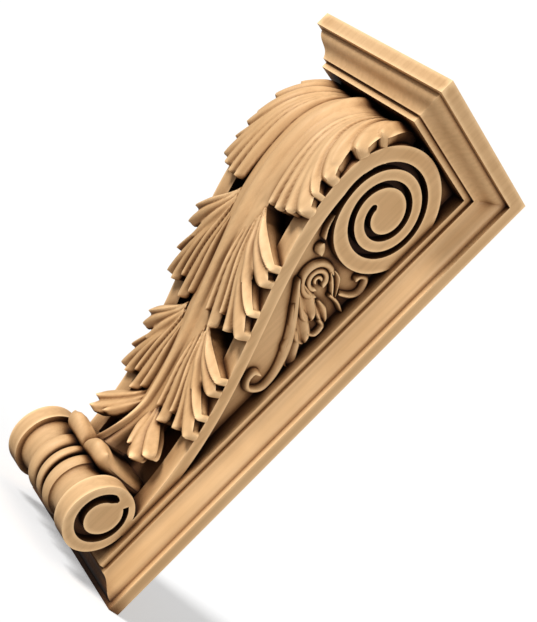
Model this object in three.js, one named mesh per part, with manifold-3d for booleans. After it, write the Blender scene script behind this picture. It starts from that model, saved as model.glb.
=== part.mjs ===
// Acanthus corbel: a carved wooden wall bracket.
// A moulded L-shaped frame (back plate and abacus) holds an S-scroll between two volutes,
// with a ribbon along each side, a relief on each sunk side panel, a turned spool at the foot
// and a three-tier acanthus leaf down the front.
// Millimetres, +Z up. The origin is the centre of the wall face, and the front looks along -Y.
// "Reach" is a distance out from the wall, and "height" is measured up from the foot.

import * as THREE from 'three';
import { mergeVertices } from 'three/addons/utils/BufferGeometryUtils.js';
import Module from 'manifold-3d';

const wasm = await Module();
wasm.setup();

// Frame
const HEIGHT = 300;
const WIDTH = 107.5;
const DEPTH = 99.4;
const SLAB = 7.8;
const QUIRK = 2.9;
const OGEE_WIDTH = 8.1;
const OGEE_HEIGHT = 10.9;
const FILLET_STEP = 1.9;
const FILLET_HEIGHT = 3.6;

// Scroll
const BODY_WIDTH = 75.4;
const RIBBON_WIDTH = 10.4;
const RIBBON_TOP = 9;
const RIBBON_FOOT = 7;
const PANEL_RECESS = 6.2;
const CHANNEL_DEPTH = 8;

// Big volute
const EYE_RADIUS = 8.7;
const SPIRAL_PITCH = 9.86;
const SPIRAL_TURNS = 2;
const GROOVE_WIDTH = 4.05;
const RING_WIDTH = 8.4;
const VOLUTE_GAP = 1.6;
const VOLUTE_SINK = 3.7;

// Small volute and spool
const FOOT_RADIUS = 19.8;
const FOOT_STAND = 0.9;
const FOOT_OVERHANG = 1.4;
const FOOT_REVEAL = 3;
const FOOT_GROOVE = 12.2;
const FOOT_GROOVE_WIDTH = 5.2;
const BEAD_WIDTH = 6;
const NECK_RADIUS = 15;
const RIM_START = 4.8;
const RIM_END = 13.4;
const RIM_RADIUS = 18.9;
const COVE_RADIUS = 15.4;

// Leaf
const LEAF_THICKNESS = 10.2;
const LEAF_LENGTH = 240;
const EDGE_DROOP = 0.5;
const EDGE_OVERHANG = 3.5;
const RIB_WIDTH = 23;
const RIB_TOP_WIDTH = 18;
const RIB_FOOT_WIDTH = 9;
const SHOULDER = 5;
const TIP_LIFT = 13;
const FOOT_LEAF_FLOOR = 3;
const LIP_WIDTH = 37;
const LIP_BACK_WIDTH = 54;
const LIP_THICKNESS = 8;
const LIP_REACH = 57;
const LIP_HEIGHT = 59;

// Panel relief
const RELIEF_HEIGHT = 4;

// Worked out from the sizes above
const FRAME_THICKNESS = SLAB + OGEE_HEIGHT + FILLET_HEIGHT;
const MOULDING_WIDTH = QUIRK + OGEE_WIDTH + FILLET_STEP;
const SOFFIT = HEIGHT - FRAME_THICKNESS;
const SIDE = BODY_WIDTH / 2;
const PANEL = SIDE - PANEL_RECESS;
const FOLD = 0.6;
const LEAF_ROOT = -CHANNEL_DEPTH - FOLD;

const grooveRadius = (turns) => EYE_RADIUS + SPIRAL_PITCH * turns;
const ringRadius = (turns) => grooveRadius(turns) + GROOVE_WIDTH / 2 + RING_WIDTH;
const VOLUTE = {
  reach: FRAME_THICKNESS + ringRadius(SPIRAL_TURNS - 0.5) - VOLUTE_SINK,
  height: SOFFIT - VOLUTE_GAP - ringRadius(SPIRAL_TURNS - 0.25),
};
const FOOT = {
  reach: FRAME_THICKNESS + FOOT_RADIUS + FOOT_STAND,
  height: MOULDING_WIDTH + FOOT_RADIUS - FOOT_OVERHANG,
};

const smooth = (t) => THREE.MathUtils.smoothstep(t, 0, 1);
const mix = THREE.MathUtils.lerp;

// Solids and booleans

function toSolid(vertices, triangles) {
  const mesh = new wasm.Mesh({
    numProp: 3,
    vertProperties: new Float32Array(vertices),
    triVerts: new Uint32Array(triangles),
  });
  return new wasm.Manifold(mesh);
}

function geometrySolid(geometry) {
  const bare = geometry.clone();
  bare.deleteAttribute('normal');
  bare.deleteAttribute('uv');
  const merged = mergeVertices(bare, 1e-4);
  return toSolid(merged.attributes.position.array, merged.index.array);
}

// A closed body through a row of rings with equal point counts, whichever way they wind.
function loft(rings) {
  const count = rings[0].length;
  const vertices = rings.flat().flatMap((point) => point.toArray());
  const triangles = [];
  for (let i = 0; i < rings.length - 1; i++) {
    for (let j = 0; j < count; j++) {
      const a = i * count + j;
      const b = i * count + ((j + 1) % count);
      triangles.push(a, b, b + count, a, b + count, a + count);
    }
  }
  const last = (rings.length - 1) * count;
  for (let j = 1; j < count - 1; j++) {
    triangles.push(0, j + 1, j);
    triangles.push(last, last + j, last + j + 1);
  }
  if (signedVolume(vertices, triangles) < 0) {
    triangles.reverse();
  }
  return toSolid(vertices, triangles);
}

function signedVolume(vertices, triangles) {
  const corner = (k) => new THREE.Vector3().fromArray(vertices, 3 * triangles[k]);
  let volume = 0;
  for (let k = 0; k < triangles.length; k += 3) {
    volume += corner(k).dot(corner(k + 1).cross(corner(k + 2)));
  }
  return volume;
}

const join = (solids) => solids.reduce((all, next) => all.add(next));

// A point of the side view, placed at a distance x from the middle plane.
const place = (x, reach, height) => new THREE.Vector3(x, -reach, height - HEIGHT / 2);

// A side-view outline of [reach, height] points, extruded from x0 to x1.
function sidePlate(outline, x0, x1) {
  const shape = new THREE.Shape(outline.map(([reach, height]) => new THREE.Vector2(-reach, height)));
  const geometry = new THREE.ExtrudeGeometry(shape, { depth: x1 - x0, bevelEnabled: false });
  const turn = new THREE.Matrix4().makeBasis(
    new THREE.Vector3(0, 1, 0),
    new THREE.Vector3(0, 0, 1),
    new THREE.Vector3(1, 0, 0),
  );
  turn.setPosition(x0, 0, -HEIGHT / 2);
  return geometrySolid(geometry.applyMatrix4(turn));
}

// Frame: two stacks of rectangles that follow one moulding profile and meet in a mitre

function mouldingProfile(steps = 6) {
  const ogee = new THREE.CubicBezierCurve(
    new THREE.Vector2(QUIRK, SLAB),
    new THREE.Vector2(QUIRK + 0.2 * OGEE_WIDTH, SLAB + 0.62 * OGEE_HEIGHT),
    new THREE.Vector2(QUIRK + 0.8 * OGEE_WIDTH, SLAB + 0.38 * OGEE_HEIGHT),
    new THREE.Vector2(QUIRK + OGEE_WIDTH, SLAB + OGEE_HEIGHT),
  );
  return [
    new THREE.Vector2(0, 0),
    new THREE.Vector2(0, SLAB),
    ...ogee.getPoints(steps),
    new THREE.Vector2(MOULDING_WIDTH, SLAB + OGEE_HEIGHT),
    new THREE.Vector2(MOULDING_WIDTH, FRAME_THICKNESS),
  ];
}

function frame() {
  const half = WIDTH / 2;
  const backPlate = mouldingProfile().map(({ x: inset, y: depth }) => [
    place(-half + inset, depth, inset),
    place(half - inset, depth, inset),
    place(half - inset, depth, HEIGHT),
    place(-half + inset, depth, HEIGHT),
  ]);
  const abacus = mouldingProfile().map(({ x: inset, y: depth }) => [
    place(-half + inset, 0, HEIGHT - depth),
    place(half - inset, 0, HEIGHT - depth),
    place(half - inset, DEPTH - inset, HEIGHT - depth),
    place(-half + inset, DEPTH - inset, HEIGHT - depth),
  ]);
  return loft(backPlate).add(loft(abacus));
}

// Scroll: the side view's curves

// A point of a spiral about the big volute's centre. Turns count from the front, by the back.
function spiralPoint(radius, turns) {
  const angle = (2 * turns + 1) * Math.PI;
  return [
    VOLUTE.reach - radius * Math.cos(angle),
    VOLUTE.height + radius * Math.sin(angle),
  ];
}

function spiral(radiusAt, from, to, steps) {
  const turnsAt = (i) => mix(from, to, i / steps);
  return Array.from({ length: steps + 1 }, (_, i) => spiralPoint(radiusAt(turnsAt(i)), turnsAt(i)));
}

// The S between the volutes, as a cubic from the big volute's front to the small one's back.
function ribbonEdge(topReach, footReach, steps) {
  const fall = VOLUTE.height - FOOT.height;
  const curve = new THREE.CubicBezierCurve(
    new THREE.Vector2(topReach, VOLUTE.height),
    new THREE.Vector2(topReach, VOLUTE.height - 0.31 * fall),
    new THREE.Vector2(footReach, FOOT.height + 0.455 * fall),
    new THREE.Vector2(footReach, FOOT.height),
  );
  return curve.getPoints(steps).map((point) => point.toArray());
}

const voluteFront = VOLUTE.reach + ringRadius(SPIRAL_TURNS);
const ribbonFoot = FRAME_THICKNESS + FOOT_REVEAL;
const outerEdge = (steps) => ribbonEdge(voluteFront, ribbonFoot, steps);
const innerEdge = (steps) => ribbonEdge(voluteFront - RIBBON_TOP, ribbonFoot - RIBBON_FOOT, steps);

// The front line that the leaf lies on: over the volute's top, then down the ribbon's edge.
function frontLine() {
  const arc = spiral(ringRadius, SPIRAL_TURNS - 0.2, SPIRAL_TURNS, 40).slice(0, -1);
  const points = [...arc, ...outerEdge(160)];
  const line = [];
  let along = 0;
  points.forEach(([reach, height], i) => {
    const before = points[Math.max(i - 1, 0)];
    const after = points[Math.min(i + 1, points.length - 1)];
    const slope = Math.hypot(after[0] - before[0], after[1] - before[1]);
    if (i > 0) {
      along += Math.hypot(reach - before[0], height - before[1]);
    }
    line.push({
      along,
      reach,
      height,
      outReach: (before[1] - after[1]) / slope,
      outHeight: (after[0] - before[0]) / slope,
    });
  });
  return line;
}

const FRONT = frontLine();

function frontAt(along) {
  let k = FRONT.findIndex((station) => station.along >= along);
  k = k < 0 ? FRONT.length - 1 : Math.max(k, 1);
  const [a, b] = [FRONT[k - 1], FRONT[k]];
  const t = (along - a.along) / (b.along - a.along);
  const between = (key) => mix(a[key], b[key], t);
  return {
    reach: between('reach'),
    height: between('height'),
    outReach: between('outReach'),
    outHeight: between('outHeight'),
  };
}

// A point over the front: x across, a length down the front line, and a height out from it.
function onFront(x, along, out) {
  const at = frontAt(along);
  return place(x, at.reach + at.outReach * out, at.height + at.outHeight * out);
}

// A cutter along a side-view line. Its half width is a function of the share of the line.
function slot(centreline, halfWidth, x0, x1) {
  const sides = centreline.map(([reach, height], i) => {
    const before = centreline[Math.max(i - 1, 0)];
    const after = centreline[Math.min(i + 1, centreline.length - 1)];
    const length = Math.hypot(after[0] - before[0], after[1] - before[1]);
    const across = [(before[1] - after[1]) / length, (after[0] - before[0]) / length];
    const half = halfWidth(i / (centreline.length - 1));
    return [half, -half].map((out) => [reach + across[0] * out, height + across[1] * out]);
  });
  return loft(sides.map(([left, right]) => [
    place(x0, ...left),
    place(x1, ...left),
    place(x1, ...right),
    place(x0, ...right),
  ]));
}

function sideScroll(side) {
  const plate = (outline) => {
    const inner = SIDE - RIBBON_WIDTH;
    return side > 0 ? sidePlate(outline, inner, SIDE) : sidePlate(outline, -SIDE, -inner);
  };
  const ring = plate(spiral(ringRadius, SPIRAL_TURNS - 1, SPIRAL_TURNS, 20));
  const topArc = [
    ...spiral(ringRadius, SPIRAL_TURNS - 0.3, SPIRAL_TURNS, 6),
    ...spiral((turns) => ringRadius(turns) - RIBBON_TOP, SPIRAL_TURNS - 0.3, SPIRAL_TURNS, 6).reverse(),
  ];
  const ribbon = plate([...outerEdge(12), ...innerEdge(12).reverse()]);
  const grooveEnd = SPIRAL_TURNS + 0.06;
  const volute = ring.add(plate(topArc)).add(ribbon).subtract(slot(
    spiral(grooveRadius, 0, grooveEnd, 26),
    () => GROOVE_WIDTH / 2,
    side * PANEL,
    side * (SIDE + 1),
  ));
  const foot = plate(circle(FOOT, FOOT_RADIUS, 20)).subtract(footGroove(side));
  return volute.add(foot);
}

function circle({ reach, height }, radius, steps) {
  return Array.from({ length: steps }, (_, i) => {
    const angle = (2 * Math.PI * i) / steps;
    return [reach + radius * Math.cos(angle), height + radius * Math.sin(angle)];
  });
}

// The small volute's groove: a turn that starts in the notch behind the ring and runs inwards.
function footGroove(side) {
  const steps = 14;
  const lastTurn = 0.88;
  const turnAt = (share) => mix(-0.04, lastTurn, share);
  const line = Array.from({ length: steps + 1 }, (_, i) => {
    const turn = turnAt(i / steps);
    const angle = Math.PI * (0.76 + 2 * turn);
    const radius = FOOT_GROOVE + 1.2 * Math.max(1 - turn / 0.3, 0) - 1.6 * Math.max(turn - 0.6, 0);
    return [
      FOOT.reach - 0.4 + radius * Math.cos(angle),
      FOOT.height + 1.2 + radius * Math.sin(angle),
    ];
  });
  const halfWidth = (share) => {
    const turn = turnAt(share);
    const end = Math.min(Math.max((lastTurn - turn) / 0.05, 0.08), 1) ** 0.5;
    return (FOOT_GROOVE_WIDTH / 2) * mix(0.62, 1, smooth(turn / 0.35)) * end;
  };
  return slot(line, halfWidth, side * PANEL, side * (SIDE + 1));
}

// The core between the ribbons: its front is the channel floor, and its sides the sunk panels.
function core() {
  const sunk = FRAME_THICKNESS - FOLD;
  const outline = [[sunk, SOFFIT + FOLD]];
  for (let i = 0; i <= 26; i++) {
    const point = onFront(0, (FRONT.at(-1).along * i) / 26, -CHANNEL_DEPTH);
    if (i === 0) {
      outline.push([-point.y, SOFFIT + FOLD]);
    }
    if (-point.y > sunk) {
      outline.push([-point.y, point.z + HEIGHT / 2]);
    }
  }
  return sidePlate(outline, -PANEL, PANEL);
}

// A turned roll between the small volutes: a bead, then a rim and a cove on each side.
function spool() {
  const flange = SIDE - RIBBON_WIDTH;
  const half = [
    [RIM_RADIUS - 0.6, 0],
    [RIM_RADIUS - 1.2, 0.3 * BEAD_WIDTH],
    [NECK_RADIUS, BEAD_WIDTH / 2],
    [NECK_RADIUS, RIM_START],
    [RIM_RADIUS - 0.6, mix(RIM_START, RIM_END, 0.25)],
    [RIM_RADIUS, mix(RIM_START, RIM_END, 0.6)],
    [RIM_RADIUS - 1.6, RIM_END],
    [COVE_RADIUS, RIM_END + 1],
    [COVE_RADIUS + 1, flange],
    [COVE_RADIUS, PANEL - FOLD],
    [0, PANEL - FOLD],
  ];
  const other = half.slice(1).reverse().map(([radius, x]) => [radius, -x]);
  const points = [...other, ...half].map(([radius, x]) => new THREE.Vector2(radius, x));
  const geometry = new THREE.LatheGeometry(points, 18);
  geometry.rotateZ(-Math.PI / 2);
  geometry.translate(0, -FOOT.reach, FOOT.height - HEIGHT / 2);
  return geometrySolid(geometry);
}

// Strokes: a domed ridge along a plane curve, laid on any surface

// The surface is a function of the curve's two coordinates and a height out from it.
function stroke(surface, curve, { halfWidth, top, floor, steps = 6, arcs = 2, crowd = 1 }) {
  const rings = [];
  for (let i = 0; i <= steps; i++) {
    const t = 1 - (1 - i / steps) ** crowd;
    const centre = curve.getPoint(t);
    const along = curve.getTangent(t);
    const width = halfWidth(t);
    const at = (c) => [centre.x - along.y * width * c, centre.y + along.x * width * c];
    const ring = [surface(...at(-1), floor)];
    for (let j = 0; j <= arcs; j++) {
      const c = mix(-1, 1, j / arcs);
      const [u, v] = at(c);
      ring.push(surface(u, v, top(t, c, u, v)));
    }
    ring.push(surface(...at(1), floor));
    rings.push(ring);
  }
  return loft(rings);
}

// Leaf

// The leaf's face: even across the middle, drooping at the edges, lifting away at its foot.
function leafFace(x, along) {
  const edge = Math.min(Math.abs(x) / (SIDE + EDGE_OVERHANG), 1);
  const lift = Math.max((along / LEAF_LENGTH - 0.86) / 0.14, 0);
  return LEAF_THICKNESS * (1 - EDGE_DROOP * edge ** 8) + TIP_LIFT * lift ** 1.5;
}

function ribHalfWidth(along) {
  const share = Math.min(along / LEAF_LENGTH, 1);
  const width = Math.min(mix(RIB_WIDTH, RIB_FOOT_WIDTH, share ** 0.8), RIB_TOP_WIDTH);
  return (width / 2) * Math.sqrt(1 - 0.98 * smooth((share - 0.78) / 0.19));
}

// One finger of the leaf: it leaves the rib, bends outwards and ends in a rounded tip.
function finger(side, root, tip, lean, width, floor = LEAF_ROOT) {
  const [across, run] = [tip[0] - root[0], tip[1] - root[1]];
  const reach = 0.3 * Math.hypot(run, across);
  const point = (x, along) => new THREE.Vector2(side * x, along);
  const curve = new THREE.CubicBezierCurve(
    point(...root),
    point(root[0] + 0.16 * across, root[1] + 0.33 * run),
    point(tip[0] - reach * Math.sin(lean), tip[1] - reach * Math.cos(lean)),
    point(...tip),
  );
  return stroke(onFront, curve, {
    halfWidth: (t) => {
      const body = width * mix(0.3, 1.2, smooth(t / 0.7)) * mix(1, 0.84, smooth((t - 0.75) / 0.25));
      const round = Math.max((t - 0.84) / 0.16, 0);
      return body * Math.max(1 - round * round, 0.03) ** 0.5;
    },
    top: (t, c, x, along) => {
      const rise = mix(0.75, 1, smooth(t / 0.6));
      const crown = mix(0.9, 2.6, smooth((t - 0.1) / 0.5));
      return leafFace(x, along) * rise - crown * c * c;
    },
    floor,
    steps: width > 3 ? 4 : 3,
    crowd: 1.7,
  });
}

// Each finger's start and tip, how far the tip leans out, and its half width. Across, a share of
// the body's half width; along, of the tier's length.
const TOP_TIER = [
  { root: [0.74, -0.24], tip: [0.98, 0.16], lean: 0.95, width: 4 },
  { root: [0.68, -0.24], tip: [1, 0.37], lean: 0.75, width: 4.4 },
  { root: [0.48, -0.16], tip: [1, 0.62], lean: 0.7, width: 3.9 },
  { root: [0.42, -0.16], tip: [1, 0.745], lean: 0.9, width: 2.4 },
  { root: [0.4, -0.16], tip: [1, 0.9], lean: 0.62, width: 4.4 },
  { root: [0.37, -0.16], tip: [0.82, 0.955], lean: 0.3, width: 3.9 },
  { root: [0.33, -0.16], tip: [0.63, 0.985], lean: 0.12, width: 3.3 },
  { root: [0.3, -0.2], tip: [0.46, 0.985], lean: 0.1, width: 3.5 },
];
const LOWER_TIER = [
  { root: [0.32, 0.03], tip: [1, 0.485], lean: 0.8, width: 4 },
  { root: [0.31, 0.05], tip: [0.7, 0.545], lean: 0.35, width: 3.4 },
  { root: [0.31, 0.1], tip: [1.02, 0.725], lean: 0.85, width: 2.2 },
  { root: [0.31, 0.1], tip: [1, 0.926], lean: 0.55, width: 3.8 },
  { root: [0.3, 0.1], tip: [0.76, 0.935], lean: 0.12, width: 3.2 },
  { root: [0.2, 0], tip: [0.44, 1], lean: 0.12, width: 3.9 },
];
const FOOT_TIER = [
  { root: [0.16, 0], tip: [0.81, 0.74], lean: 1, width: 2.8 },
  { root: [0.13, 0.06], tip: [0.68, 1], lean: 0.9, width: 3.8 },
  { root: [0.08, 0.13], tip: [0.42, 0.87], lean: 0.6, width: 3.2 },
];

// A tier of fingers on both sides of the rib, from its start along the leaf.
function tier(pattern, start, length, floor = LEAF_ROOT) {
  const at = ([x, along]) => [x * SIDE, start + along * length];
  return [1, -1].flatMap((side) => pattern.map(
    ({ root, tip, lean, width }) => finger(side, at(root), at(tip), lean, width, floor),
  ));
}

function leaf() {
  const fingers = [
    ...tier(TOP_TIER, 17, 67.5),
    ...tier(LOWER_TIER, 85, 67.5),
    ...tier(LOWER_TIER, 152, 59.5),
    ...tier(FOOT_TIER, 203, 31, FOOT_LEAF_FLOOR),
  ];
  const cutters = [1, -1].flatMap((side) => [behindRibbon(side), underEdge(side)]);
  return cutters.reduce((left, cutter) => left.subtract(cutter), join([rib(), blade(), ...fingers]));
}

// The space beside the ribbon, below the leaf's overhanging edge.
function underEdge(side) {
  const steps = 12;
  const [inner, outer] = [side * SIDE, side * (SIDE + 2 * EDGE_OVERHANG)];
  return loft(Array.from({ length: steps + 1 }, (_, i) => {
    const along = (FRONT.at(-1).along * i) / steps;
    return [
      onFront(inner, along, LEAF_ROOT - 4),
      onFront(outer, along, LEAF_ROOT - 4),
      onFront(outer, along, 1.2),
      onFront(inner, along, 0.4),
    ];
  }));
}

// The space that the sunk panel opens beside the core, from the ribbon's middle to the wall.
function behindRibbon(side) {
  const middle = ribbonEdge(voluteFront - RIBBON_TOP / 2, ribbonFoot - RIBBON_FOOT / 2, 10);
  const outline = [[0, VOLUTE.height], ...middle, [0, FOOT.height]];
  const outside = SIDE + LEAF_THICKNESS;
  return side > 0 ? sidePlate(outline, PANEL, outside) : sidePlate(outline, -outside, -PANEL);
}

function downTheMiddle(halfWidth, top, steps, arcs) {
  const line = new THREE.LineCurve(new THREE.Vector2(0, 0), new THREE.Vector2(0, LEAF_LENGTH));
  return stroke(onFront, line, {
    halfWidth: (t) => halfWidth(t * LEAF_LENGTH),
    top,
    floor: LEAF_ROOT,
    steps,
    arcs,
  });
}

const rib = () => downTheMiddle(
  ribHalfWidth,
  (t, c, x, along) => leafFace(x, along) + 1 - 4 * Math.sin((Math.abs(c) * Math.PI) / 2) ** 2,
  16,
  4,
);

const blade = () => downTheMiddle(
  (along) => ribHalfWidth(along) + SHOULDER,
  (t, c, x, along) => 0.72 * leafFace(x, along),
  14,
  1,
);

// The leaf's tip, rolled forward over the spool, with a notch where the rib ends.
function lip() {
  const rows = 10;
  const steps = 6;
  const notchDepth = 9;
  const back = [ribbonFoot + 2.7, LIP_HEIGHT - 5.5];
  const rings = [];
  for (let i = 0; i <= rows; i++) {
    const c = Math.sin(mix(-0.5, 0.5, i / rows) * Math.PI);
    const side = mix(0.3, 1, Math.sin((Math.min(Math.abs(c) / 0.7, 1) * Math.PI) / 2));
    const curl = side * (1 - 0.35 * smooth((Math.abs(c) - 0.7) / 0.3));
    const notch = notchDepth * (1 - curl);
    const nose = [LIP_REACH - notch, LIP_HEIGHT - notch];
    const line = new THREE.CubicBezierCurve(
      new THREE.Vector2(...back),
      new THREE.Vector2(back[0] + 12, back[1] - 1),
      new THREE.Vector2(nose[0] - 3, nose[1] - 6 * curl - 2),
      new THREE.Vector2(...nose),
    );
    const over = [];
    const under = [];
    for (let j = 0; j <= steps; j++) {
      const t = j / steps;
      const { x: reach, y: height } = line.getPoint(t);
      const slope = line.getTangent(t);
      const end = Math.sqrt(Math.max(1 - Math.max((t - 0.8) / 0.2, 0) ** 2, 0.01));
      const half = (LIP_THICKNESS / 2) * mix(0.7, 1.2, t) * end * Math.sqrt(1 - 0.97 * c ** 6);
      const x = (c * mix(LIP_BACK_WIDTH, LIP_WIDTH, smooth(t))) / 2;
      over.push(place(x, reach - slope.y * half, height + slope.x * half));
      under.push(place(x, reach + slope.y * half, height - slope.x * half));
    }
    rings.push([...over, ...under.reverse()]);
  }
  return loft(rings);
}

// Panel relief: strokes on the sunk panel, placed from the big volute

// Sprigs on one panel, flat on top: a stem that curls up at its foot, petals, a scroll, a bud
// and a hook.
function relief(side) {
  const surface = (reach, height, out) => place(side * (PANEL + out), reach, height);
  const ridge = (points, [startWidth, endWidth], steps = 3, height = RELIEF_HEIGHT) => {
    const at = ([reach, rise]) => new THREE.Vector2(VOLUTE.reach + reach, VOLUTE.height + rise);
    const curve = new THREE.SplineCurve(points.map(at));
    const length = curve.getLength();
    return stroke(surface, curve, {
      halfWidth: (t) => {
        const width = mix(startWidth, endWidth, t);
        const inset = Math.min((Math.min(t, 1 - t) * length) / width, 1);
        return width * Math.max(1 - (1 - inset) ** 2, 0.15) ** 0.5;
      },
      top: () => height,
      floor: -FOLD,
      steps,
      arcs: 1,
    });
  };
  const arc = (radius, from, to, width, steps) => {
    const points = Array.from({ length: 7 }, (_, i) => {
      const angle = THREE.MathUtils.degToRad(mix(from, to, i / 6));
      return [radius * Math.cos(angle) - 2.3, radius * Math.sin(angle) - 46.4];
    });
    return ridge(points, [width, width], steps);
  };
  return join([
    ridge([[21.8, -19], [19, -25.2], [14.7, -30.4]], [0.8, 1.6], 2),
    ridge([[13.8, -32], [11.2, -34.5], [8.6, -37]], [3.3, 3.3]),
    arc(9.3, 223, 480, 2.1, 8),
    arc(5.2, 228, 545, 2, 7),
    ridge([[-4, -37.6], [-11, -39.5], [-18.9, -46.4]], [3, 2.4]),
    ridge([[-15, -46.5], [-23, -46], [-30, -47.5]], [1.5, 1.2], 2),
    ridge([[-19, -43], [-27.5, -38.5], [-30.3, -33], [-27, -27], [-22.5, -28], [-21.4, -32]], [1.8, 2.2], 7),
    ridge([[-11, -54], [-19.2, -55.4], [-26, -58]], [2.6, 3.4]),
    ridge([[-22, -59], [-28, -60], [-28.5, -66], [-24, -68.5]], [1.6, 1.5], 4),
    ridge([[6, -54], [-6, -57.5], [-18.5, -63]], [2.2, 5]),
    ridge([[-1.5, -62], [-13, -67], [-26.5, -73]], [2.2, 5]),
    ridge([[-14, -71], [-22, -78.5], [-30.5, -87.5]], [2.2, 4.4]),
    ridge([[8.5, -52.7], [-2.5, -61.7], [-13.5, -71.7], [-21.5, -81.2], [-27, -91.2], [-29.1, -99.7],
      [-28, -106.2], [-22, -109.9], [-17.3, -107], [-16.8, -102], [-20.8, -100.4]],
    [2.8, 2], 14, RELIEF_HEIGHT + 0.6),
  ]);
}

// The carving as one body

const body = join([
  frame(),
  core(),
  sideScroll(1),
  sideScroll(-1),
  spool(),
  leaf(),
  lip(),
  relief(1),
  relief(-1),
]);

const carved = body.getMesh();
const geometry = new THREE.BufferGeometry();
geometry.setAttribute('position', new THREE.BufferAttribute(carved.vertProperties, 3));
geometry.setIndex(new THREE.BufferAttribute(carved.triVerts, 1));

const wood = new THREE.MeshStandardMaterial({ color: 0xdcb384, roughness: 0.55, metalness: 0 });
wood.flatShading = true;

const corbel = new THREE.Mesh(geometry, wood);
corbel.name = 'corbel';

const part = new THREE.Group();
part.add(corbel);

export default part;
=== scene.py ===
"""Looks for the acanthus corbel: one carved wooden body in fine detail, with its floor, lights and camera.

Lengths are in millimetres until place() turns them into metres. "Reach" is a distance out from
the wall, "height" is measured up from the foot, and x runs across the front.
"""

import math

import bpy
import numpy as np
from mathutils import Matrix, Vector


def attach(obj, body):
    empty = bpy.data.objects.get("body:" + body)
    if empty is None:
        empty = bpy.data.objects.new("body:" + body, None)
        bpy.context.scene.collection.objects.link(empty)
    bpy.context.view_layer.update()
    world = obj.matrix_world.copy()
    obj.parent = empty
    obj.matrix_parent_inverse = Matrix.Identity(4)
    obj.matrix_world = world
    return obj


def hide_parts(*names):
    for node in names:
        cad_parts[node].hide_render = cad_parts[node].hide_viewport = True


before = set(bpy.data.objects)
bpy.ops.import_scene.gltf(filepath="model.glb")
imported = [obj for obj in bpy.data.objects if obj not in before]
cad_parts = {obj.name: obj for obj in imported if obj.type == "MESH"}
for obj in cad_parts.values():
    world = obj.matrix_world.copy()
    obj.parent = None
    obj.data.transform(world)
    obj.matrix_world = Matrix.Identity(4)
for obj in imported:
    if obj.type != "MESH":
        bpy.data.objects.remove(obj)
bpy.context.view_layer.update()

# Frame
HEIGHT = 300
WIDTH = 107.5
DEPTH = 99.4
SLAB = 7.8
QUIRK = 2.9
OGEE_WIDTH = 8.1
OGEE_HEIGHT = 10.9
OGEE_BENDS = ((0.2, 0.62), (0.8, 0.38))  # control points, as shares of the ogee's width and height
FILLET_STEP = 1.9
FILLET_HEIGHT = 3.6

# Scroll
BODY_WIDTH = 75.4
RIBBON_WIDTH = 10.4
RIBBON_TOP = 9
RIBBON_FOOT = 7
UPPER_BEND = 0.31  # how far the S runs on straight from its ends, as shares of its fall
LOWER_BEND = 0.455
PANEL_RECESS = 6.2
CHANNEL_DEPTH = 8

# Big volute
EYE_RADIUS = 8.7
SPIRAL_PITCH = 9.86
SPIRAL_TURNS = 2
GROOVE_WIDTH = 4.05
RING_WIDTH = 8.4
VOLUTE_GAP = 1.6
VOLUTE_SINK = 3.7

# Small volute and spool
FOOT_RADIUS = 19.8
FOOT_STAND = 0.9
FOOT_OVERHANG = 1.4
FOOT_REVEAL = 3
FOOT_GROOVE = 12.2
FOOT_GROOVE_WIDTH = 5.2
COVE_RADIUS = 15.4
RIM_RADIUS = 18.9
RIM_END = 13.4
COVE_END = 4.8
BEAD_WIDTH = 6
NECK_RADIUS = 15

# Leaf
LEAF_THICKNESS = 10.2
LEAF_LENGTH = 240
LEAF_START = 0.2  # turns of the big volute before its front
LEAF_CEILING = 30
FOOT_LEAF_FLOOR = 3
RIB_WIDTH = 23
RIB_TOP_WIDTH = 18
RIB_FOOT_WIDTH = 9
RIB_RISE = 0.6
RIB_FALL = 4.6
REED_DEPTH = 0.8
SHOULDER = 4
TIP_LIFT = 13
EDGE_DROOP = 0.5
EDGE_OVERHANG = 3.5
EDGE_RADIUS = 1.2
CREST_SHARPNESS = 3.5
UNDERCUT = 2.4
UNDERCUT_HEIGHT = 0.6
UNDERCUT_END = 34
UNDERCUT_FADE = 3

# Rolled tip
LIP_WIDTH = 42
LIP_BACK_WIDTH = 54
LIP_THICKNESS = 10
LIP_REACH = 57
LIP_HEIGHT = 59
LIP_NOTCH = 9
LIP_ROOT = (23, 52)
LIP_NECK = (36, 50)

# Panel relief
RELIEF_HEIGHT = 4
STEM_RISE = 0.6

# Fineness of the curves and of the leaf's face
CIRCLE_STEPS = 96
RING_STEPS = 140
GROOVE_STEPS = 240
EDGE_STEPS = 90
ROW_SPACING = 0.75
HALF_COLUMNS = 76

# Worked out from the sizes above
FRAME_THICKNESS = SLAB + OGEE_HEIGHT + FILLET_HEIGHT
MOULDING_WIDTH = QUIRK + OGEE_WIDTH + FILLET_STEP
SOFFIT = HEIGHT - FRAME_THICKNESS
SIDE = BODY_WIDTH / 2
PANEL = SIDE - PANEL_RECESS
FOLD = 0.6  # how far neighbouring bodies run into each other, so that they join
LEAF_ROOT = -CHANNEL_DEPTH - FOLD


def groove_radius(turns):
    return EYE_RADIUS + SPIRAL_PITCH * turns


def ring_radius(turns):
    return groove_radius(turns) + GROOVE_WIDTH / 2 + RING_WIDTH


VOLUTE_REACH = FRAME_THICKNESS + ring_radius(SPIRAL_TURNS - 0.5) - VOLUTE_SINK
VOLUTE_HEIGHT = SOFFIT - VOLUTE_GAP - ring_radius(SPIRAL_TURNS - 0.25)
VOLUTE_FRONT = VOLUTE_REACH + ring_radius(SPIRAL_TURNS)
RIBBON_BACK = FRAME_THICKNESS + FOOT_REVEAL
FOOT_REACH = FRAME_THICKNESS + FOOT_RADIUS + FOOT_STAND
FOOT_HEIGHT = MOULDING_WIDTH + FOOT_RADIUS - FOOT_OVERHANG


# Numbers and curves

def mix(a, b, t):
    return a + (b - a) * t


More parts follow.
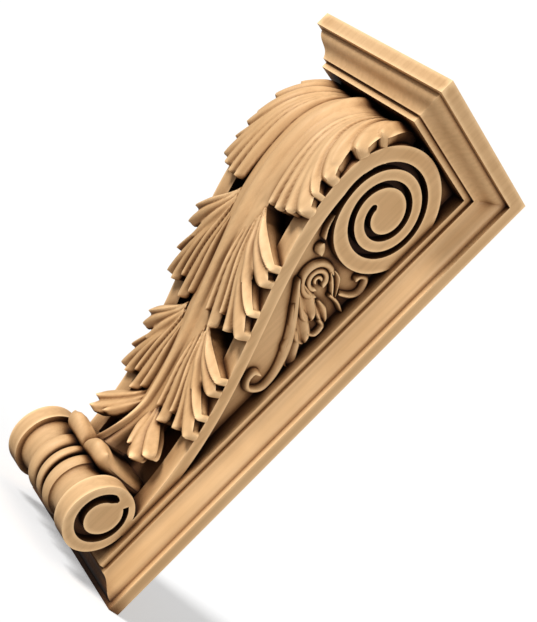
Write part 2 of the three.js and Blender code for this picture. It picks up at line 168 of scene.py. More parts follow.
def smooth(t):
    """From 0 to 1, with an even start and end."""
    t = np.clip(t, 0, 1)
    return t * t * (3 - 2 * t)


def swell(t):
    """A quarter of a sine wave, from 0 up to 1 at t = 1 and level after that."""
    return np.sin(np.minimum(t, 1) * math.pi / 2)


def round_off(t):
    """A quarter circle's height: 1 at t = 0, down to 0 at t = 1."""
    return np.sqrt(np.maximum(1 - np.clip(t, 0, 1) ** 2, 0))


def bezier(a, b, c, d, t):
    t = np.asarray(t)[:, None]
    a, b, c, d = (np.array(p, float) for p in (a, b, c, d))
    return (1 - t) ** 3 * a + 3 * (1 - t) ** 2 * t * b + 3 * (1 - t) * t * t * c + t ** 3 * d


def smooth_line(points, steps):
    """A smooth curve through a few points."""
    points = np.array(points, float)
    padded = np.concatenate([[2 * points[0] - points[1]], points, [2 * points[-1] - points[-2]]])
    at = np.linspace(0, len(points) - 1, steps + 1)
    k = np.minimum(at.astype(int), len(points) - 2)
    t = (at - k)[:, None]
    a, b, c, d = (padded[k + i] for i in range(4))
    bend = 2 * a - 5 * b + 4 * c - d
    twist = 3 * b - a - 3 * c + d
    return 0.5 * (2 * b + (c - a) * t + bend * t ** 2 + twist * t ** 3)


def circle(reach, height, radius):
    angle = np.linspace(0, 2 * math.pi, CIRCLE_STEPS, endpoint=False)
    return np.stack([reach + radius * np.cos(angle), height + radius * np.sin(angle)], -1)


def tangents(points):
    slope = np.gradient(points, axis=0)
    return slope / np.hypot(*slope.T)[:, None]


def normals(points):
    slope = tangents(points)
    return np.stack([-slope[:, 1], slope[:, 0]], -1)


def lengths(points):
    """How far along the line each point is."""
    return np.concatenate([[0], np.cumsum(np.hypot(*np.diff(points, axis=0).T))])


def nearest(points, x, along):
    """How far each place is from a line, and which share of the line lies before it."""
    step = np.diff(points, axis=0)
    from_x = x[..., None] - points[:-1, 0]
    from_along = along[..., None] - points[:-1, 1]
    t = np.clip((from_x * step[:, 0] + from_along * step[:, 1]) / (step ** 2).sum(-1), 0, 1)
    away = np.hypot(from_x - t * step[:, 0], from_along - t * step[:, 1])
    k = away.argmin(-1)[..., None]
    t = np.take_along_axis(t, k, -1)[..., 0]
    before = lengths(points)
    k = k[..., 0]
    return away.min(-1), mix(before[k], before[k + 1], t) / before[-1]


# Solids and booleans

def place(x, reach, height):
    """A point of the side view, at a distance x from the middle plane, in metres."""
    return np.stack(np.broadcast_arrays(x, -reach, height - HEIGHT / 2), -1) / 1000


def add_object(name, vertices, faces):
    mesh = bpy.data.meshes.new(name)
    mesh.from_pydata([tuple(v) for v in vertices], [], faces)
    mesh.validate()
    made = bpy.data.objects.new(name, mesh)
    bpy.context.scene.collection.objects.link(made)
    return made


def signed_volume(vertices, faces):
    total = 0
    for face in faces:
        a = vertices[face[0]]
        for i in range(1, len(face) - 1):
            total += np.dot(a, np.cross(vertices[face[i]], vertices[face[i + 1]]))
    return total


def loft(rings):
    """A closed body through a row of rings with equal point counts, whichever way they wind."""
    count = len(rings[0])
    vertices = np.concatenate(rings)
    faces = []
    for i in range(len(rings) - 1):
        for j in range(count):
            a = i * count + j
            b = i * count + (j + 1) % count
            faces.append((a, b, b + count, a + count))
    last = (len(rings) - 1) * count
    faces.append(tuple(reversed(range(count))))
    faces.append(tuple(range(last, last + count)))
    if signed_volume(vertices, faces) < 0:
        faces = [tuple(reversed(face)) for face in faces]
    return add_object("solid", vertices, faces)


def side_plate(outline, x0, x1):
    """A side-view outline of (reach, height) points, extruded from x0 to x1."""
    outline = np.array(outline)
    return loft([place(x, outline[:, 0], outline[:, 1]) for x in (x0, x1)])


def slot(centreline, width, x0, x1):
    """A cutter along a side-view line, as wide as width says, one value or one for each point."""
    across = normals(centreline) * np.reshape(width, (-1, 1)) / 2
    rings = []
    for left, right in zip(centreline + across, centreline - across):
        reach = np.array([left[0], left[0], right[0], right[0]])
        height = np.array([left[1], left[1], right[1], right[1]])
        rings.append(place(np.array([x0, x1, x1, x0]), reach, height))
    return loft(rings)


def stroke(surface, points, width, top, floor, arcs=12):
    """A ridge along a curve on a surface, which takes the curve's two coordinates and a height."""
    slope = tangents(points)
    c = np.sin(np.linspace(-0.5, 0.5, arcs + 1) * math.pi)
    rings = []
    for i, (u, v) in enumerate(points):
        u = u - slope[i, 1] * width[i] * c
        v = v + slope[i, 0] * width[i] * c
        crest = surface(u, v, top(c, u, v))
        edge = surface(u[[-1, 0]], v[[-1, 0]], np.full(2, floor))
        rings.append(np.concatenate([crest, edge]))
    return loft(rings)


def rounded(points, width):
    """The half width of a stroke that ends in a half circle."""
    blunt_end = 0.1414
    left = lengths(points)[-1] - lengths(points)
    return width * np.maximum(round_off(1 - left / width), blunt_end)


def combine(base, others, operation):
    """Adds the other bodies to the base, cuts them out of it, or keeps what they share."""
    for other in others:
        modifier = base.modifiers.new("combine", "BOOLEAN")
        modifier.operation = operation
        modifier.solver = "MANIFOLD"
        modifier.object = other
    bpy.context.view_layer.update()
    evaluated = base.evaluated_get(bpy.context.evaluated_depsgraph_get())
    mesh = bpy.data.meshes.new_from_object(evaluated)
    base.modifiers.clear()
    base.data = mesh
    for other in others:
        bpy.data.objects.remove(other)
    return base


def join(solids):
    return combine(solids[0], solids[1:], "UNION")


def cut(base, cutters):
    return combine(base, cutters, "DIFFERENCE")


# Frame: two stacks of rectangles that follow one moulding profile and meet in a mitre

def moulding_profile():
    """The frame's profile, as (inset from the edge, depth from the flat face)."""
    shares = ((0, 0), *OGEE_BENDS, (1, 1))
    controls = [(QUIRK + u * OGEE_WIDTH, SLAB + v * OGEE_HEIGHT) for u, v in shares]
    ogee = bezier(*controls, np.linspace(0, 1, 21))
    fillet = [(MOULDING_WIDTH, SLAB + OGEE_HEIGHT), (MOULDING_WIDTH, FRAME_THICKNESS)]
    return [(0, 0), (0, SLAB), *map(tuple, ogee), *fillet]


def frame_body():
    half = WIDTH / 2
    plate = []
    abacus = []
    for inset, depth in moulding_profile():
        x = np.array([-1, 1, 1, -1]) * (half - inset)
        plate.append(place(x, np.full(4, depth), np.array([inset, inset, HEIGHT, HEIGHT])))
        reach = np.array([0, 0, DEPTH - inset, DEPTH - inset])
        abacus.append(place(x, reach, np.full(4, HEIGHT - depth)))
    return join([loft(plate), loft(abacus)])


# Scroll

def spiral(radius_at, first, last, steps):
    """Points about the big volute's centre. Turns count from the front, by the back."""
    turns = np.linspace(first, last, steps + 1)
    angle = (2 * turns + 1) * math.pi
    radius = radius_at(turns)
    return np.stack([
        VOLUTE_REACH - radius * np.cos(angle),
        VOLUTE_HEIGHT + radius * np.sin(angle),
    ], -1)


def ribbon_edge(top_reach, foot_reach, steps):
    """The S between the volutes, from the big volute's front to the small one's back."""
    fall = VOLUTE_HEIGHT - FOOT_HEIGHT
    return bezier(
        (top_reach, VOLUTE_HEIGHT),
        (top_reach, VOLUTE_HEIGHT - UPPER_BEND * fall),
        (foot_reach, FOOT_HEIGHT + LOWER_BEND * fall),
        (foot_reach, FOOT_HEIGHT),
        np.linspace(0, 1, steps + 1),
    )


def front_line():
    """The line that the leaf lies on: over the volute's top, then down the ribbon's edge."""
    arc = spiral(ring_radius, SPIRAL_TURNS - LEAF_START, SPIRAL_TURNS, 60)[:-1]
    points = np.concatenate([arc, ribbon_edge(VOLUTE_FRONT, RIBBON_BACK, 240)])
    slope = tangents(points)
    return lengths(points), points[:, 0], points[:, 1], -slope[:, 1], slope[:, 0]


FRONT = front_line()
FRONT_LENGTH = FRONT[0][-1]


def over_front(along, out):
    """The reach and height of a point a length down the front line and a height out from it."""
    reach, height, out_reach, out_height = (np.interp(along, FRONT[0], row) for row in FRONT[1:])
    return reach + out_reach * out, height + out_height * out


def on_front(x, along, out):
    return place(x, *over_front(along, out))


def ribbon_plate(side, outline):
    return side_plate(outline, side * (SIDE - RIBBON_WIDTH), side * SIDE)


def side_scroll(side):
    """One side's ribbon with its two volutes, all in one plane."""
    arc_start = SPIRAL_TURNS - 0.3
    ring = spiral(ring_radius, SPIRAL_TURNS - 1, SPIRAL_TURNS, RING_STEPS)
    outer_arc = spiral(ring_radius, arc_start, SPIRAL_TURNS, 40)
    inner_arc = spiral(lambda t: ring_radius(t) - RIBBON_TOP, arc_start, SPIRAL_TURNS, 40)
    outer_edge = ribbon_edge(VOLUTE_FRONT, RIBBON_BACK, EDGE_STEPS)
    inner_edge = ribbon_edge(VOLUTE_FRONT - RIBBON_TOP, RIBBON_BACK - RIBBON_FOOT, EDGE_STEPS)
    solids = [
        ribbon_plate(side, ring),
        ribbon_plate(side, np.concatenate([outer_arc, inner_arc[::-1]])),
        ribbon_plate(side, np.concatenate([outer_edge, inner_edge[::-1]])),
        ribbon_plate(side, circle(FOOT_REACH, FOOT_HEIGHT, FOOT_RADIUS)),
    ]
    return cut(join(solids), [volute_groove(side), foot_groove(side)])


def volute_groove(side):
    """The big volute's groove: a blunt start at the eye, and an end that runs out into the ribbon."""
    leaves, ends = SPIRAL_TURNS + 0.02, SPIRAL_TURNS + 0.2
    drift, thinning = 1.3, 2.5
    blunt_turns = 0.026

    def runs_out(turns):
        return smooth((turns - leaves) / (ends - leaves))

    line = spiral(lambda turns: groove_radius(turns) + drift * runs_out(turns), 0, ends, GROOVE_STEPS)
    turns = np.linspace(0, ends, len(line))
    width = GROOVE_WIDTH * np.sqrt(np.clip(turns / blunt_turns, 0.1, 1)) - thinning * runs_out(turns)
    return slot(line, width, side * PANEL, side * (SIDE + 1))


def foot_groove(side):
    """The small volute's groove: a turn that starts in the notch behind the ring and runs inwards."""
    first, last = -0.04, 0.88
    eye_reach, eye_height = FOOT_REACH - 0.4, FOOT_HEIGHT + 1.2
    start_angle = 0.76 * math.pi
    turn = np.linspace(first, last, EDGE_STEPS)
    angle = start_angle + 2 * math.pi * turn
    wide_start = 1.2 * np.clip(1 - turn / 0.3, 0, 2)
    tight_end = 1.6 * np.clip(turn - 0.6, 0, 1)
    radius = FOOT_GROOVE + wide_start - tight_end
    thin_start = mix(0.62, 1, smooth(turn / 0.35))
    blunt_end = np.sqrt(np.clip((last - turn) / 0.05, 0.08, 1))
    width = FOOT_GROOVE_WIDTH * thin_start * blunt_end
    line = np.stack([eye_reach + radius * np.cos(angle), eye_height + radius * np.sin(angle)], -1)
    return slot(line, width, side * PANEL, side * (SIDE + 1))


def core():
    """The body between the ribbons: its front is the channel floor, its sides the sunk panels."""
    sunk = FRAME_THICKNESS - FOLD
    channel = np.stack(over_front(np.linspace(0, FRONT_LENGTH, 120), -CHANNEL_DEPTH), -1)
    start = [(sunk, SOFFIT + FOLD), (channel[0][0], SOFFIT + FOLD)]
    return side_plate([*start, *(point for point in channel if point[0] > sunk)], -PANEL, PANEL)


def spool_profile():
    """Half of the spool's profile, as x and radius: half a bead, a rolled rim and a long cove."""
    bead = np.linspace(0, 1, 9)
    rim = np.linspace(0, 1, 17)
    cove = np.linspace(0, 1, 15)[1:] ** 2
    roll = math.pi * 0.86
    bead_radius = RIM_RADIUS - 0.6
    cove_start = RIM_RADIUS - 2
    flare = 1.2
    x = np.concatenate([
        BEAD_WIDTH / 2 * swell(bead),
        mix(COVE_END, RIM_END, rim),
        mix(RIM_END, SIDE - RIBBON_WIDTH, cove),
        [PANEL - FOLD],
    ])
    radius = np.concatenate([
        mix(NECK_RADIUS, bead_radius, np.cos(bead * math.pi / 2) ** 0.6),
        mix(NECK_RADIUS, RIM_RADIUS, np.sin(rim * roll) ** 0.5),
        mix(cove_start, COVE_RADIUS, np.minimum(cove / 0.1, 1) ** 0.5) + flare * cove ** 3,
        [COVE_RADIUS],
    ])
    return x, radius


def spool():
    """A turned roll between the small volutes."""
    x, radius = spool_profile()
    x = np.concatenate([-x[:0:-1], x])
    radius = np.concatenate([radius[:0:-1], radius])
    rings = []
    for at, size in zip(x, radius):
        outline = circle(FOOT_REACH, FOOT_HEIGHT, size)
        rings.append(place(at, outline[:, 0], outline[:, 1]))
    return loft(rings)


# Leaf

def leaf_face(x, along):
    """The leaf's face: even in the middle, lower towards the edges, lifting away at its foot."""
    lift_start = 0.86
    edge = np.minimum(np.abs(x) / (SIDE + EDGE_OVERHANG), 1)
    lift = np.maximum((along / LEAF_LENGTH - lift_start) / (1 - lift_start), 0)
    return LEAF_THICKNESS * (1 - EDGE_DROOP * edge ** 8) + TIP_LIFT * lift ** 1.5


def down_the_middle(half_width, top):
    """A stroke down the leaf's middle line, over its full length."""
    along = np.linspace(0, LEAF_LENGTH, 141)
    points = np.stack([np.zeros(len(along)), along], -1)
    return stroke(on_front, points, half_width(along), top, LEAF_ROOT, arcs=20)


def rib_half_width(along):
    """The rib narrows down the leaf and closes just before the leaf's foot."""
    closing_start, closing_run = 0.78, 0.19
    share = np.minimum(along / LEAF_LENGTH, 1)
    width = np.minimum(mix(RIB_WIDTH, RIB_FOOT_WIDTH, share ** 0.8), RIB_TOP_WIDTH)
    return width / 2 * np.sqrt(1 - smooth((share - closing_start) / closing_run) * 0.98)


def rib():
    """The leaf's middle rib: a round back with a groove along each side of it."""
    def top(c, x, along):
        reed = REED_DEPTH * np.exp(-((np.abs(c) - 0.5) / 0.13) ** 2)
        return leaf_face(x, along) + RIB_RISE - RIB_FALL * swell(np.abs(c)) ** 2 - reed
    return down_the_middle(rib_half_width, top)


def blade():
    """The low shoulders on both sides of the rib, which the fingers grow from."""
    height, droop = 0.75, 0.3

    def top(c, x, along):
        return height * leaf_face(x, along) * (1 - droop * c ** 4)
    return down_the_middle(lambda along: rib_half_width(along) + SHOULDER, top)


def finger(root, tip, lean, width):
    """A finger's crest line, from the rib to its tip, and its half width all along."""
    waist, belly, nose = 0.3, 1.2, 0.84
    across = tip[0] - root[0]
    run = tip[1] - root[1]
    reach = 0.3 * math.hypot(run, across)
    leave = (root[0] + 0.16 * across, root[1] + 0.33 * run)
    arrive = (tip[0] - reach * math.sin(lean), tip[1] - reach * math.cos(lean))
    closer_at_tip = 1 - (1 - np.linspace(0, 1, 40)) ** 1.7
    points = bezier(root, leave, arrive, tip, closer_at_tip)
    share = lengths(points) / lengths(points)[-1]
    body = width * mix(waist, belly, smooth(share / 0.7)) * mix(1, nose, smooth((share - 0.75) / 0.25))
    return points, rounded(points, body)


def fluted(fingers, x, along):
    """The height of a tier: crests along the fingers, with smooth valleys between them."""
    root_step = 0.4
    root_crown, tip_crown = 0.9, 2.8
    steepness = 3
    next_to_nothing = 1e-9
    far_outside = -9.0
    total = np.full(x.shape, next_to_nothing)
    inside = np.full(x.shape, far_outside)
    for points, width in fingers:
        away, share = nearest(points, x, along)
        half = np.interp(share, lengths(points) / lengths(points)[-1], width)
        rise = 1 - root_step * (1 - smooth(share / 0.6))
        wave = mix(root_crown, tip_crown, smooth((share - 0.1) / 0.5)) * swell(away / half) ** 2
        fall = steepness * np.maximum(away - half, 0)
        total += np.exp(CREST_SHARPNESS * (leaf_face(x, along) * rise - wave - fall))
        inside = np.maximum(inside, half - away)
    return np.log(total) / CREST_SHARPNESS - EDGE_RADIUS * (1 - round_off(1 - inside / EDGE_RADIUS))


def finger_block(points, width):
    """A finger's outline in plan. Its sides are undercut below the face, up to the ribbon's edge."""
    slope = tangents(points)
    bottom = LEAF_ROOT - FOLD
    rings = []
    for i, (x, along) in enumerate(points):
        depth = UNDERCUT * (1 - smooth((abs(x) - UNDERCUT_END) / UNDERCUT_FADE))
        outer = width[i]
        inner = np.clip(outer - depth, 0.5 * outer, 0.98 * outer)
        under = UNDERCUT_HEIGHT * leaf_face(x, along)
        half = [(inner, bottom), (inner, under - 0.5 * depth), (outer, under), (outer, LEAF_CEILING)]
        section = np.array([(-across, out) for across, out in half] + half[::-1])
        across = section[:, 0]
        rings.append(on_front(x - slope[i, 1] * across, along + slope[i, 0] * across, section[:, 1]))
    return loft(rings)


def underside(row, floor):
    """A tier's lower face: its floor, or the leaf's back where the tier stands free of the channel."""
    if floor == LEAF_ROOT:
        return floor
    return max(floor, leaf_face(0, row) - LEAF_THICKNESS)


def tier(fingers, floor):
    """One tier of fingers on both sides of the rib."""
    ends = np.array([points[[0, -1], 1] for points, width in fingers])
    rows = np.arange(ends.min() - 1, ends.max() + 2, ROW_SPACING)
    across = np.linspace(0, SIDE + EDGE_OVERHANG, HALF_COLUMNS)
    x, along = np.meshgrid(across, rows)
    height = np.maximum(fluted(fingers, x, along), floor + 1)
    x = np.concatenate([-x[:, :0:-1], x], 1)
    height = np.concatenate([height[:, :0:-1], height], 1)
    rings = []
    for i, row in enumerate(rows):
        face = on_front(x[i], row, height[i])
        back = on_front(x[i][[-1, 0]], row, underside(row, floor))
        rings.append(np.concatenate([face, back]))
    outlines = []
    for points, width in fingers:
        for side in (1, -1):
            outlines.append(finger_block(points * [side, 1], width))
    return combine(join(outlines), [loft(rings)], "INTERSECT")


# Each finger's start and tip, how far the tip leans out, and its half width. Across, a share of
# the body's half width; along, of the tier's length.
TOP_TIER = [
    ((0.74, -0.24), (0.98, 0.16), 0.95, 4.6),
    ((0.68, -0.24), (1.0, 0.355), 0.75, 5.0),
    ((0.5, -0.2), (0.93, 0.53), 0.5, 3.4),
    ((0.48, -0.16), (1.0, 0.63), 0.7, 4.4),
    ((0.42, -0.16), (1.0, 0.76), 0.9, 2.4),
    ((0.4, -0.16), (1.0, 0.91), 0.62, 5.0),
    ((0.37, -0.16), (0.81, 0.955), 0.3, 4.4),
    ((0.33, -0.16), (0.62, 0.985), 0.12, 4.0),
    ((0.3, -0.2), (0.46, 0.985), 0.1, 4.0),
]
LOWER_TIER = [
    ((0.3, 0.0), (1.02, 0.35), 1.15, 2.6),
    ((0.32, 0.03), (1.0, 0.485), 0.8, 4.0),
    ((0.31, 0.05), (0.7, 0.545), 0.35, 3.4),
    ((0.31, 0.1), (1.02, 0.725), 0.85, 2.2),
    ((0.31, 0.1), (1.0, 0.926), 0.55, 3.8),
    ((0.3, 0.1), (0.76, 0.935), 0.12, 3.2),
    ((0.25, 0.0), (0.56, 0.85), 0.1, 2.6),
    ((0.2, 0.0), (0.44, 1.0), 0.12, 3.9),
    ((0.17, 0.0), (0.26, 0.91), 0.1, 2.8),
]
FOOT_TIER = [
    ((0.16, 0.0), (0.8, 0.8), 0.95, 3.4),
    ((0.13, 0.06), (0.68, 0.98), 0.9, 4.4),
    ((0.08, 0.13), (0.42, 0.87), 0.6, 3.4),
]

# Each tier's fingers, where it starts down the front line, its length and its floor
TIERS = [
    (TOP_TIER, 17, 67.5, LEAF_ROOT),
    (LOWER_TIER, 85, 67.5, LEAF_ROOT),
    (LOWER_TIER, 152, 59.5, LEAF_ROOT),
    (FOOT_TIER, 203, 31, FOOT_LEAF_FLOOR),
]


def under_edge(side):
    """The space beside the ribbon, below the leaf's overhanging edge."""
    outside = SIDE + 5
    bottom = -14
    at_edge, at_ribbon = 1.2, 0.4
    x = side * np.array([SIDE, outside, outside, SIDE])
    out = np.array([bottom, bottom, at_edge, at_ribbon])
    return loft([on_front(x, row, out) for row in np.linspace(0, FRONT_LENGTH, 160)])


def behind_ribbon(side):
    """The space that the sunk panel opens beside the core, from the ribbon's middle to the wall."""
    middle = ribbon_edge(VOLUTE_FRONT - RIBBON_TOP / 2, RIBBON_BACK - RIBBON_FOOT / 2, 60)
    outline = [(0, VOLUTE_HEIGHT), *middle, (0, FOOT_HEIGHT)]
    return side_plate(outline, side * PANEL, side * (SIDE + LEAF_THICKNESS))


def leaf():
    parts = [rib(), blade()]
    for pattern, start, length, floor in TIERS:
        fingers = []
        for root, tip, lean, width in pattern:
            root = (root[0] * SIDE, start + root[1] * length)
            tip = (tip[0] * SIDE, start + tip[1] * length)
            fingers.append(finger(root, tip, lean, width))
        parts.append(tier(fingers, floor))
    return cut(join(parts), [behind_ribbon(1), behind_ribbon(-1), under_edge(1), under_edge(-1)])


# Rolled tip

def lip_curl(c):
    """How far the tip rolls out across its width: little in the middle, most on its two lobes."""
    lobes = mix(0.3, 1, swell(abs(c) / 0.7) ** 0.9)
    return lobes * (1 - 0.25 * smooth((abs(c) - 0.6) / 0.4))


def lip_section(c, t):
    """The tip's outline in the side view, at a share c of its half width."""
    curl = lip_curl(c)
    back = LIP_NOTCH * (1 - curl)
    nose = (LIP_REACH - back, LIP_HEIGHT - back)
    below_nose = (nose[0] - 2, nose[1] - 8 * curl - 1)
    line = bezier(LIP_ROOT, LIP_NECK, below_nose, nose, t)
    round_nose = np.maximum(round_off((t - 0.7) / 0.3), 0.1)
    round_side = np.sqrt(1 - 0.97 * c ** 10)
    half = LIP_THICKNESS / 2 * mix(0.8, 1.1, t) * round_nose * round_side
    out = normals(line) * half[:, None]
    return np.concatenate([line + out, (line - out)[::-1]])


def lip():
    """The leaf's tip, rolled forward over the spool, with a notch where the rib ends."""
    t = np.linspace(0, 1, 34)
    rings = []
    for c in np.sin(np.linspace(-0.5, 0.5, 71) * math.pi):
        section = lip_section(c, t)
        x = c * mix(LIP_BACK_WIDTH, LIP_WIDTH, smooth(t)) / 2
        rings.append(place(np.concatenate([x, x[::-1]]), section[:, 0], section[:, 1]))
    return loft(rings)


# Panel relief: ridges on the sunk panel, placed from the big volute's centre

def band(c):
    return 1 - 0.7 * c ** 2


def two_strands(c):
    groove = np.cos(np.minimum(np.abs(c) / 0.5, 1) * math.pi / 2) ** 2
    return (1 - 0.6 * groove) * (1 - 0.6 * c ** 6)


def petal(c):
    return mix(0.45, 1, swell(np.abs(c) / 0.72) ** 2) * (1 - 0.55 * c ** 8)


# Each ridge's points as (reach, height), its half widths from start to end, and its section
BUD = [
    ([(21.8, -19), (19, -25.2), (14.7, -30.4)], [0.8, 1.6], band),
    ([(13.8, -32), (8.6, -37)], [3.3, 3.3], band),
]
LEAFLETS = [
    ([(-4, -37.6), (-11, -39.5), (-18.9, -46.4)], [1.8, 3.6, 1.5], two_strands),
    ([(-15, -46.5), (-23, -46), (-30, -47.5)], [1.5, 1.2], band),
    (
        [(-19, -43), (-27.5, -38.5), (-30.3, -33), (-27, -27), (-22.5, -28), (-21.4, -32)],
        [1.6, 2.4, 2],
        band,
    ),
    ([(-11, -54), (-19.2, -55.4), (-26, -58)], [2, 3.8, 2.4], petal),
    ([(-22, -59), (-28, -60), (-28.5, -66), (-24, -68.5)], [1.6, 1.8, 1.4], band),
    ([(6, -54), (-6, -57.5), (-18.5, -63)], [1.6, 5.6, 5.4], petal),
    ([(-1.5, -62), (-13, -67), (-26.5, -73)], [1.6, 6, 5.6], petal),
    ([(-14, -71), (-22, -78.5), (-30.5, -87.5)], [1.6, 5.6, 4.4], petal),
]
STEM = [
    (8.5, -52.7), (-2.5, -61.7), (-13.5, -71.7), (-21.5, -81.2), (-27, -91.2), (-29.1, -99.7),
    (-28, -106.2), (-22, -109.9), (-17.3, -107), (-16.8, -102), (-20.8, -100.4),
]
STEM_WIDTHS = [1.2, 2.2, 2.8, 2.9, 2.4, 2.1, 2, 2, 2, 2, 1.7]

# The small scroll: its centre, and each arc's radius, first and last angle in degrees and half width
SCROLL_CENTRE = (-2.3, -46.4)
SCROLL_ARCS = [(9.2, 223, 480, 2.5), (5.4, 228, 545, 2.1), (2, 270, 500, 1.6)]


def ridge(side, points, widths, section, height=RELIEF_HEIGHT, steps=48):
    """A rounded ridge on one panel, through points placed from the big volute's centre."""
    def surface(reach, level, out):
        return place(side * (PANEL + out), reach, level)

    line = smooth_line(points, steps) + [VOLUTE_REACH, VOLUTE_HEIGHT]
    body = np.interp(np.linspace(0, 1, steps + 1), np.linspace(0, 1, len(widths)), widths)
    body = rounded(line[::-1], rounded(line, body)[::-1])[::-1]
    return stroke(surface, line, body, lambda c, u, v: height * section(c), -FOLD)


def scroll_arc(side, radius, first, last, width):
    angle = np.radians(np.linspace(first, last, 9))
    points = np.stack([radius * np.cos(angle), radius * np.sin(angle)], -1) + SCROLL_CENTRE
    return ridge(side, points, [width, width], band)


def relief(side):
    """Sprigs on one panel: a bud, a scroll with its leaflets, and a stem that curls up at its foot."""
    return join([
        *(ridge(side, *bud) for bud in BUD),
        *(scroll_arc(side, *arc) for arc in SCROLL_ARCS),
        *(ridge(side, *leaflet) for leaflet in LEAFLETS),
        ridge(side, STEM, STEM_WIDTHS, band, RELIEF_HEIGHT + STEM_RISE, 90),
    ])


# The carving as one body

def carve():
    body = join([
        frame_body(),
        core(),
        side_scroll(1),
        side_scroll(-1),
        spool(),
        leaf(),
        lip(),
        relief(1),
        relief(-1),
    ])
    body.name = "carving"
    body.data.name = "carving"
    body.data.shade_smooth()
    body.data.set_sharp_from_angle(angle=math.radians(32))
    return body


# Material: each list of tones has a value from 0 to 1 and the colour there

SHADE_SAMPLES = 12
# Painted shade: hollows turn dark where little of the space around them lies open
HOLLOW_SHADE_DISTANCE = 0.02
HOLLOW_PAINTED_SHADE = [
    (0.15, (0.01, 0.005, 0.003)),
    (0.45, (0.14, 0.085, 0.05)),
    (0.65, (0.6, 0.52, 0.45)),
    (0.82, (1, 1, 1)),
]
# Painted shade: creases and narrow valleys turn dark
CREASE_SHADE_DISTANCE = 0.005
CREASE_PAINTED_SHADE = [(0.25, (0.1, 0.05, 0.025)), (0.62, (0.55, 0.44, 0.34)), (0.92, (1, 1, 1))]
# Painted highlight: thin, sharp edges turn paler
EDGE_HIGHLIGHT_DISTANCE = 0.004
EDGE_PAINTED_HIGHLIGHT = [(0.35, (0.9, 0.7, 0.42)), (0.85, (0, 0, 0))]
EDGE_HIGHLIGHT_AMOUNT = 0.5
BOARD_SCALE = 14
BOARD_DETAIL = 3
BOARD_TONES = [(0.35, (0.72, 0.43, 0.2)), (0.65, (0.82, 0.52, 0.265))]
FIBRE_SCALE = 1.6
FIBRE_DETAIL = 5
FIBRE_STRETCH = (260, 260, 9)
FIBRE_TONES = [(0.3, (0.82, 0.79, 0.75)), (0.6, (1, 1, 1))]
FIBRE_AMOUNT = 0.6
ROUGH_AT_PORES = 0.62
ROUGH_BETWEEN = 0.46
PORE_BUMP = 0.12
PORE_DEPTH = 0.0004
WOOD_SHEEN = 0.25


def tones(material, value, stops):
    """Turns a value into a colour."""
    node = material.node_tree.nodes.new("ShaderNodeValToRGB")
    elements = node.color_ramp.elements
    while len(elements) < len(stops):
        elements.new(0.5)
    for element, (position, color) in zip(elements, stops):
        element.position = position
        element.color = (*color, 1)
    material.node_tree.links.new(value, node.inputs["Fac"])
    return node.outputs["Color"]


def openness(material, distance, inside=False):
    """How open the space is around a point, or with inside, how thick the wood is behind it."""
    node = material.node_tree.nodes.new("ShaderNodeAmbientOcclusion")
    node.samples = SHADE_SAMPLES
    node.inside = inside
    node.inputs["Distance"].default_value = distance
    return node.outputs["AO"]


def noise(material, scale, detail, stretch=(1, 1, 1)):
    """Noise that stays with the object, finer along an axis where the stretch is large."""
    tree = material.node_tree
    point = tree.nodes.new("ShaderNodeTexCoord")
    mapping = tree.nodes.new("ShaderNodeMapping")
    mapping.inputs["Scale"].default_value = stretch
    tree.links.new(point.outputs["Object"], mapping.inputs["Vector"])
    node = tree.nodes.new("ShaderNodeTexNoise")
    node.inputs["Scale"].default_value = scale
    node.inputs["Detail"].default_value = detail
    tree.links.new(mapping.outputs["Vector"], node.inputs["Vector"])
    return node.outputs["Fac"]


def blend(material, mode, amount, first, second):
    node = material.node_tree.nodes.new("ShaderNodeMix")
    node.data_type = "RGBA"
    node.blend_type = mode
    node.inputs["Factor"].default_value = amount
    material.node_tree.links.new(first, node.inputs["A"])
    material.node_tree.links.new(second, node.inputs["B"])
    return node.outputs["Result"]


def wood_color(material, fibre):
    """Board tone and grain, with a painted highlight that pales the thin edges and painted shade that
    darkens creases and hollows.
    """
    board = tones(material, noise(material, BOARD_SCALE, BOARD_DETAIL), BOARD_TONES)
    grain = tones(material, fibre, FIBRE_TONES)
    # Painted highlight on the thin edges
    edge_highlight = tones(material, openness(material, EDGE_HIGHLIGHT_DISTANCE, inside=True), EDGE_PAINTED_HIGHLIGHT)
    # Painted shade in the creases
    crease_shade = tones(material, openness(material, CREASE_SHADE_DISTANCE), CREASE_PAINTED_SHADE)
    # Painted shade in the hollows
    hollow_shade = tones(material, openness(material, HOLLOW_SHADE_DISTANCE), HOLLOW_PAINTED_SHADE)
    color = blend(material, "MULTIPLY", FIBRE_AMOUNT, board, grain)
    color = blend(material, "ADD", EDGE_HIGHLIGHT_AMOUNT, color, edge_highlight)
    color = blend(material, "MULTIPLY", 1, color, crease_shade)
    return blend(material, "MULTIPLY", 1, color, hollow_shade)


def wood_roughness(material, fibre):
    node = material.node_tree.nodes.new("ShaderNodeMapRange")
    node.inputs["To Min"].default_value = ROUGH_AT_PORES
    node.inputs["To Max"].default_value = ROUGH_BETWEEN
    material.node_tree.links.new(fibre, node.inputs["Value"])
    return node.outputs["Result"]


def wood_bump(material, fibre):
    node = material.node_tree.nodes.new("ShaderNodeBump")
    node.inputs["Strength"].default_value = PORE_BUMP
    node.inputs["Distance"].default_value = PORE_DEPTH
    material.node_tree.links.new(fibre, node.inputs["Height"])
    return node.outputs["Normal"]


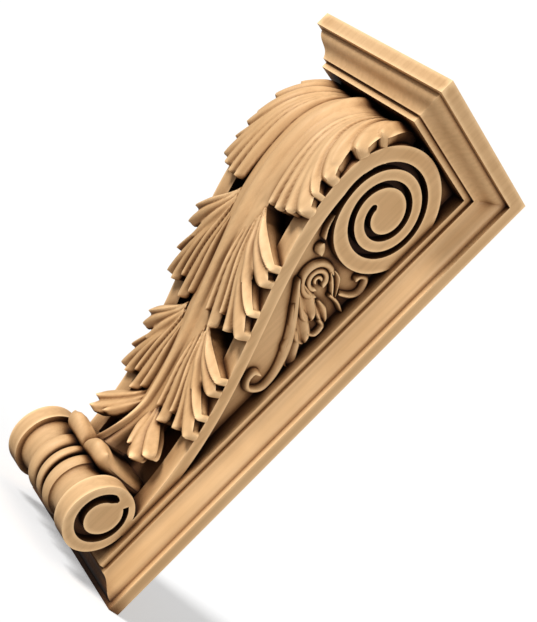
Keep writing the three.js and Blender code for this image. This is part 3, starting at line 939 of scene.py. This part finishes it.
def wood():
    """Light carved wood, with its grain down the corbel."""
    material = bpy.data.materials.new("carved_wood")
    material.use_nodes = True
    links = material.node_tree.links
    shader = material.node_tree.nodes["Principled BSDF"]
    shader.inputs["Specular IOR Level"].default_value = WOOD_SHEEN
    fibre = noise(material, FIBRE_SCALE, FIBRE_DETAIL, FIBRE_STRETCH)
    links.new(wood_color(material, fibre), shader.inputs["Base Color"])
    links.new(wood_roughness(material, fibre), shader.inputs["Roughness"])
    links.new(wood_bump(material, fibre), shader.inputs["Normal"])
    return material


# Stage, lights and camera

FLOOR_SIZE = 4
FLOOR_GLOW = 0.35
SKY_LIGHT = 0.24
SKY_SEEN = 1.05

# The camera's turn from the front, rise and roll in degrees, its place in metres, and its focal
# length in pixels of a picture that is LONG_SIDE high
CAMERA_TURN = 45.9939
CAMERA_RISE = -1.9407
CAMERA_ROLL = 45.0898
CAMERA_PLACE = (0.453144, -0.463899, -0.00489)
CAMERA_FOCUS = 1172.868
LONG_SIDE = 622
SENSOR = 36


def camera():
    turn, rise, roll = (math.radians(a) for a in (CAMERA_TURN, CAMERA_RISE, CAMERA_ROLL))
    back = Vector((
        math.sin(turn) * math.cos(rise),
        -math.cos(turn) * math.cos(rise),
        math.sin(rise),
    ))
    level = Vector((math.cos(turn), math.sin(turn), 0))
    upright = back.cross(level)
    right = math.cos(roll) * level + math.sin(roll) * upright
    up = math.cos(roll) * upright - math.sin(roll) * level
    data = bpy.data.cameras.new("camera")
    data.sensor_width = SENSOR
    data.lens = SENSOR * CAMERA_FOCUS / LONG_SIDE
    made = bpy.data.objects.new("camera", data)
    bpy.context.scene.collection.objects.link(made)
    made.matrix_world = Matrix.Translation(CAMERA_PLACE) @ Matrix((right, up, back)).transposed().to_4x4()
    bpy.context.scene.camera = made


def floor():
    """A plain white floor under the corbel's foot."""
    corners = [(-1, -1), (1, -1), (1, 1), (-1, 1)]
    level = -HEIGHT / 2000
    vertices = [(x * FLOOR_SIZE, y * FLOOR_SIZE, level) for x, y in corners]
    ground = add_object("floor", vertices, [(0, 1, 2, 3)])
    ground.visible_diffuse = False
    ground.visible_glossy = False
    material = bpy.data.materials.new("floor")
    material.use_nodes = True
    shader = material.node_tree.nodes["Principled BSDF"]
    shader.inputs["Base Color"].default_value = (0.95, 0.95, 0.95, 1)
    shader.inputs["Roughness"].default_value = 0.9
    shader.inputs["Emission Color"].default_value = (1, 1, 1, 1)
    shader.inputs["Emission Strength"].default_value = FLOOR_GLOW
    ground.data.materials.append(material)


def sky():
    """An even white sky, which the camera sees brighter than it lights."""
    world = bpy.data.worlds.new("studio")
    world.use_nodes = True
    nodes = world.node_tree.nodes
    seen = nodes.new("ShaderNodeLightPath")
    strength = nodes.new("ShaderNodeMapRange")
    strength.inputs["To Min"].default_value = SKY_LIGHT
    strength.inputs["To Max"].default_value = SKY_SEEN
    world.node_tree.links.new(seen.outputs["Is Camera Ray"], strength.inputs["Value"])
    world.node_tree.links.new(strength.outputs["Result"], nodes["Background"].inputs["Strength"])
    nodes["Background"].inputs["Color"].default_value = (1, 1, 1, 1)
    bpy.context.scene.world = world


def sun(name, towards, energy, softness):
    data = bpy.data.lights.new(name, "SUN")
    data.energy = energy
    data.angle = softness
    made = bpy.data.objects.new(name, data)
    made.rotation_euler = Vector(towards).to_track_quat("Z", "Y").to_euler()
    bpy.context.scene.collection.objects.link(made)


def lights():
    """A white studio: an even sky, a key from above the front and a low fill from the right side."""
    sky()
    sun("key", towards=(-0.1, -1, 0.55), energy=2.9, softness=0.25)
    sun("fill", towards=(1, -0.2, 0.1), energy=1.7, softness=0.5)
    bpy.context.scene.view_settings.view_transform = "Standard"


corbel = carve()
corbel.data.materials.clear()
corbel.data.materials.append(wood())
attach(corbel, "root")
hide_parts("corbel")
camera()
floor()
lights()
